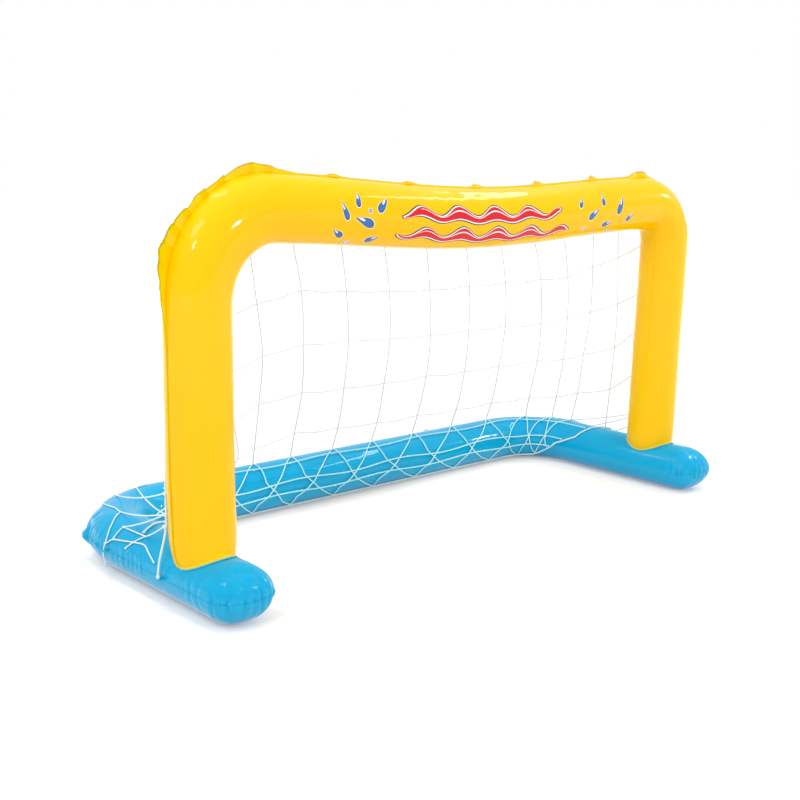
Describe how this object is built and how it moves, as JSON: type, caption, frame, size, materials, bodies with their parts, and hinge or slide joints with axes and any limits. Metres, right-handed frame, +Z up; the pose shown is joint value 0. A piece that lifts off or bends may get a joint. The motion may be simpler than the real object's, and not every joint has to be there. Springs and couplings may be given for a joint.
{
  "type": "water polo goal",
  "caption": "Inflatable pool goal: a rounded yellow arch welded on a blue U-shaped tube base, with a hanging cord net laced behind it and push-in air valves.",
  "frame": {"origin": "on the floor, at the middle of the goal's outline seen from above", "axes": "+X along the crossbar to the right as seen from the front, +Y from the open front towards the net, +Z up"},
  "size_m": [1.4372, 0.608, 0.7446],
  "materials": {
    "yellow_film": "glossy inflated PVC film",
    "blue_film": "glossy inflated PVC film",
    "weld_strip": "thin welded film, slightly hazy",
    "clear_tab": "thin welded film with an eyelet",
    "net_cord": "thin pale twisted cord",
    "valve_plastic": "soft clear vinyl",
    "plug_plastic": "soft moulded vinyl"
  },
  "bodies": {
    "goal": {"arch_front_sheet": "yellow_film", "arch_back_sheet": "yellow_film", "base_top_sheet": "blue_film", "base_bottom_sheet": "blue_film", "left_post_weld_skirt": "weld_strip", "right_post_weld_skirt": "weld_strip", "head_tab_1": "clear_tab", "head_tab_2": "clear_tab", "head_tab_3": "clear_tab", "head_tab_4": "clear_tab", "head_tab_5": "clear_tab", "head_tab_6": "clear_tab", "head_tab_7": "clear_tab", "head_tie_1": "net_cord", "head_tie_2": "net_cord", "head_tie_3": "net_cord", "head_tie_4": "net_cord", "head_tie_5": "net_cord", "head_tie_6": "net_cord", "head_tie_7": "net_cord", "left_side_tab": "blue_film", "right_side_tab": "blue_film", "left_corner_tab": "blue_film", "right_corner_tab": "blue_film", "net_edge_rope": "net_cord", "net_foot_rope": "net_cord", "net_foot_skirt": "net_cord", "left_corner_lacing": "net_cord", "right_corner_lacing": "net_cord", "net_rear_panel": "net_cord", "net_left_panel": "net_cord", "net_right_panel": "net_cord", "arch_valve_flange": "valve_plastic", "base_valve_flange": "valve_plastic"},
    "arch_valve_stem": {"arch_valve_stem": "valve_plastic"},
    "arch_valve_plug": {"arch_valve_plug": "plug_plastic"},
    "arch_valve_flap": {"arch_valve_check_flap": "valve_plastic"},
    "base_valve_stem": {"base_valve_stem": "valve_plastic"},
    "base_valve_plug": {"base_valve_plug": "plug_plastic"},
    "base_valve_flap": {"base_valve_check_flap": "valve_plastic"}
  },
  "joints": [
    {"name": "arch_stem_slide", "type": "slide", "parent": "goal", "child": "arch_valve_stem", "axis": [0.6878, 0.7259, 0], "range_m": [0, 0.01]},
    {"name": "arch_plug_hinge", "type": "hinge", "parent": "arch_valve_stem", "child": "arch_valve_plug", "pos_m": [-0.60131, -0.10798, 0.3382], "axis": [0.7259, -0.6878, 0], "range_deg": [0, 120]},
    {"name": "arch_flap_hinge", "type": "hinge", "parent": "arch_valve_stem", "child": "arch_valve_flap", "pos_m": [-0.61238, -0.11967, 0.3349], "axis": [-0.7259, 0.6878, 0], "range_deg": [0, 60]},
    {"name": "base_stem_slide", "type": "slide", "parent": "goal", "child": "base_valve_stem", "axis": [0, 0.6271, 0.779], "range_m": [0, 0.01]},
    {"name": "base_plug_hinge", "type": "hinge", "parent": "base_valve_stem", "child": "base_valve_plug", "pos_m": [0.3082, 0.28337, 0.09086], "axis": [0, 0.779, -0.6271], "range_deg": [0, 120]},
    {"name": "base_flap_hinge", "type": "hinge", "parent": "base_valve_stem", "child": "base_valve_flap", "pos_m": [0.3049, 0.27327, 0.07832], "axis": [0, -0.779, 0.6271], "range_deg": [0, 60]}
  ]
}
